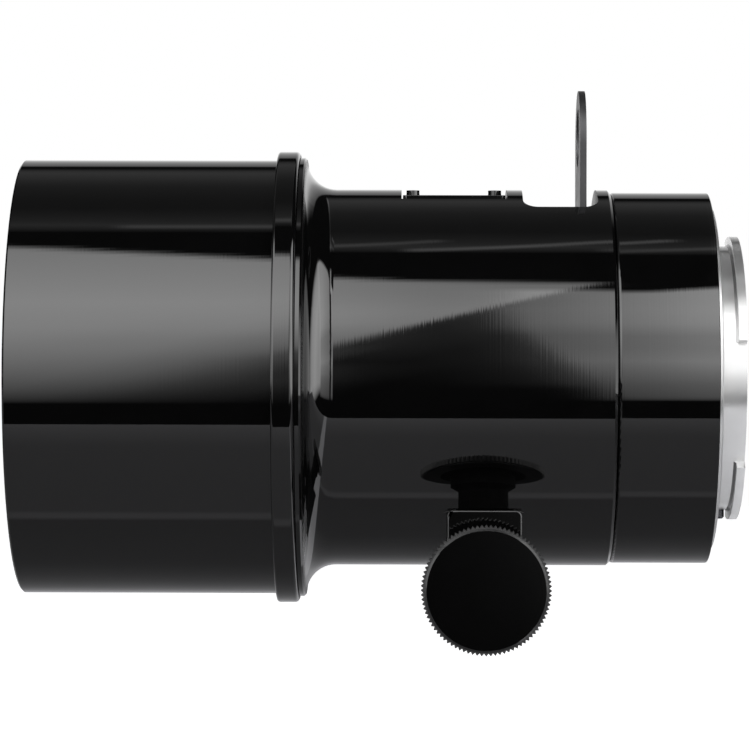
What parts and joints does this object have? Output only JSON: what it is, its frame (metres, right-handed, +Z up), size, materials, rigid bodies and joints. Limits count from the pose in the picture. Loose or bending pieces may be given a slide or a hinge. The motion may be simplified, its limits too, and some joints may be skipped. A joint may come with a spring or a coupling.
{
  "type": "camera lens",
  "caption": "Black portrait lens: a hooded optical tube slides in a flared barrel by rack and pinion, with a drop-in aperture plate and a bayonet mount.",
  "frame": {"origin": "on the optical axis, in the plane of the bayonet's flange face", "axes": "+X along the optical axis out of the mount, the front looks to -X, +Z up through the aperture plate, the knob is on the -Y side"},
  "size_m": [0.1182, 0.0763, 0.0912],
  "materials": {
    "black_paint": "gloss",
    "black_anodised": "matte",
    "bright_chrome": "polished",
    "steel": "satin",
    "blackened_steel": "satin",
    "brass": "satin",
    "lens_glass": "polished",
    "felt": "matte",
    "fibre_washer": "matte"
  },
  "bodies": {
    "barrel": {"outer_barrel": "black_paint", "rear_ring": "black_paint", "bayonet_mount": "bright_chrome", "bayonet_screws": "steel", "bayonet_stop": "steel", "rear_baffle": "black_anodised", "guide_plate": "black_paint", "guide_key": "steel", "guide_plate_screws": "black_paint", "pinion_housing": "black_paint", "housing_screws": "steel", "near_bush": "brass", "far_bush": "brass", "felt_seal": "felt", "seal_retainer": "black_anodised"},
    "optical_tube": {"inner_tube": "black_anodised", "focus_rack": "brass", "rack_screws": "steel", "front_collar": "black_paint", "hood": "black_paint", "filter_ring": "black_anodised", "front_cell": "black_anodised", "front_crown": "lens_glass", "front_flint": "lens_glass", "front_retainer": "black_anodised", "stop_guide": "black_anodised", "plate_spring": "steel", "rear_cell": "black_anodised", "rear_flint": "lens_glass", "rear_spacer": "black_anodised", "rear_crown": "lens_glass", "rear_retainer": "black_anodised"},
    "stop_plate": {"aperture_plate": "blackened_steel"},
    "focus_drive": {"pinion_shaft": "steel", "pinion": "brass", "focus_knob": "black_paint", "knob_grub_screw": "steel", "friction_washer": "fibre_washer"}
  },
  "joints": [
    {"name": "focus_slide", "type": "slide", "parent": "barrel", "child": "optical_tube", "axis": [-1, 0, 0], "range_m": [0, 0.009]},
    {"name": "plate_lift", "type": "slide", "parent": "optical_tube", "child": "stop_plate", "axis": [0, 0, 1], "range_m": [0, 0.052]},
    {"name": "knob_turn", "type": "hinge", "parent": "barrel", "child": "focus_drive", "pos_m": [-0.0378, 0, -0.0333], "axis": [0, -1, 0], "range_deg": [0, 129]}
  ],
  "couplings": [
    {"joint": "knob_turn", "follows": "focus_slide", "rad_per_m": 250}
  ]
}
